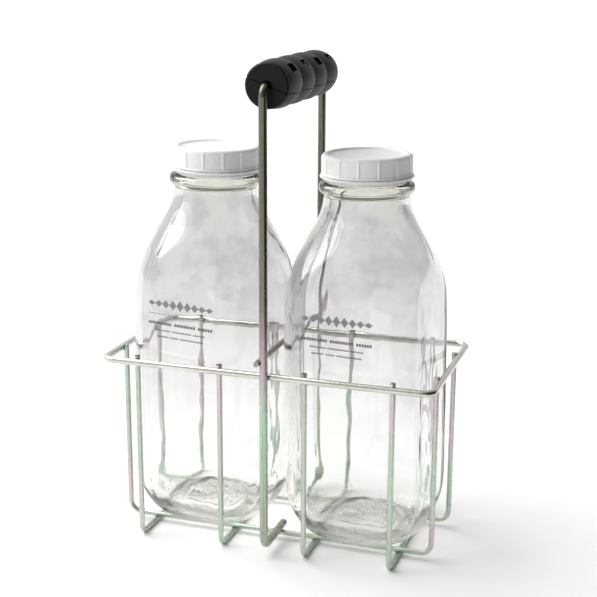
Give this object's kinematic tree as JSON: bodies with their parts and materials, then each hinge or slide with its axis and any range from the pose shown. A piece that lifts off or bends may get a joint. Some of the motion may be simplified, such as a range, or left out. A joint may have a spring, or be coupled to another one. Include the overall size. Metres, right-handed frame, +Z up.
{
  "type": "milk bottle crate",
  "caption": "Small welded wire milk carrier with a high bail handle and a moulded finger grip, loaded with square glass milk bottles that lift out and close with snap caps.",
  "frame": {"origin": "middle of the footprint, on the surface that the crate stands on", "axes": "+X along the crate from one bottle to the other, +Y towards its back, across the grip's end, +Z up to the grip"},
  "size_m": [0.2038, 0.114, 0.2908],
  "materials": {
    "zinc_wire": "zinc plated and passivated, with faint green, pink and olive colours and dull weld spots",
    "grip_plastic": "moulded, satin black",
    "glass": "clear, polished, blown",
    "cap_plastic": "moulded polyethylene, white, satin",
    "liner_foam": "expanded polyethylene foam, white"
  },
  "bodies": {
    "crate": {"top_rim": "zinc_wire", "cross_wire_1": "zinc_wire", "cross_wire_2": "zinc_wire", "cross_wire_3": "zinc_wire", "cross_wire_4": "zinc_wire", "long_wire_front": "zinc_wire", "long_wire_back": "zinc_wire", "bail": "zinc_wire", "divider_rod": "zinc_wire"},
    "grip": {"grip_upper_half": "grip_plastic", "grip_lower_half": "grip_plastic"},
    "bottle_left": {"glass_bottle_left": "glass", "tamper_band_left": "cap_plastic"},
    "bottle_right": {"glass_bottle_right": "glass", "tamper_band_right": "cap_plastic"},
    "cap_left": {"cap_left": "cap_plastic", "cap_liner_left": "liner_foam"},
    "cap_right": {"cap_right": "cap_plastic", "cap_liner_right": "liner_foam"}
  },
  "joints": [
    {"name": "grip_spin", "type": "hinge", "parent": "crate", "child": "grip", "pos_m": [0.0028, 0, 0.277], "axis": [0, 1, 0], "continuous": true},
    {"name": "bottle_left_lift", "type": "hinge", "parent": "crate", "child": "bottle_left", "pos_m": [-0.9484, 0, 0.06], "axis": [0, -1, 0], "range_deg": [0, 8]},
    {"name": "bottle_right_lift", "type": "hinge", "parent": "crate", "child": "bottle_right", "pos_m": [0.9479, 0, 0.06], "axis": [0, 1, 0], "range_deg": [0, 8]},
    {"name": "cap_left_pull", "type": "slide", "parent": "bottle_left", "child": "cap_left", "axis": [0.0131, 0, 0.9999], "range_m": [0, 0.03]},
    {"name": "cap_right_pull", "type": "slide", "parent": "bottle_right", "child": "cap_right", "axis": [-0.0148, 0, 0.9999], "range_m": [0, 0.03]}
  ]
}
